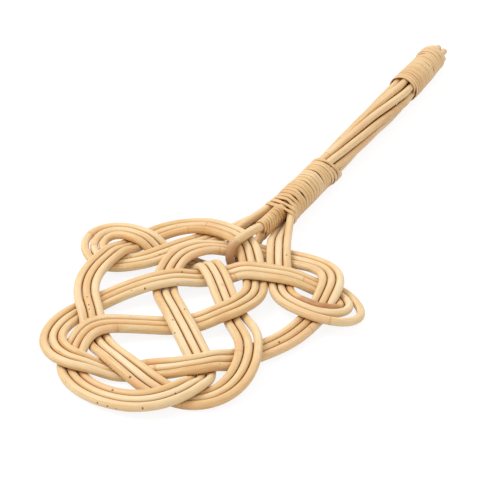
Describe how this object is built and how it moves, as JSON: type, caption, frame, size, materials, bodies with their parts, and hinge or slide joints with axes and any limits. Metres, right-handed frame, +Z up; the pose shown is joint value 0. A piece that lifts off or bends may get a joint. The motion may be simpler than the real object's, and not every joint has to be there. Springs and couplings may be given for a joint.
{
  "type": "carpet beater",
  "caption": "Woven rattan carpet beater: a knotted head of parallel canes that runs on into a bound, twisted cane handle.",
  "frame": {"origin": "on the floor under the middle of the beater lying on its back", "axes": "+Y along the handle from the woven head to the butt, +Z up through the flat head, +X across the head"},
  "size_m": [0.255, 0.695, 0.0284],
  "materials": {
    "cane": "satin natural rattan",
    "peel": "satin rattan peel"
  },
  "bodies": {
    "root": {"head_cane_outer": "cane", "head_cane_middle": "cane", "head_cane_inner": "cane", "keeper_cane": "cane", "keeper_binding": "peel", "neck_binding": "peel", "grip_binding": "peel"}
  },
  "joints": []
}
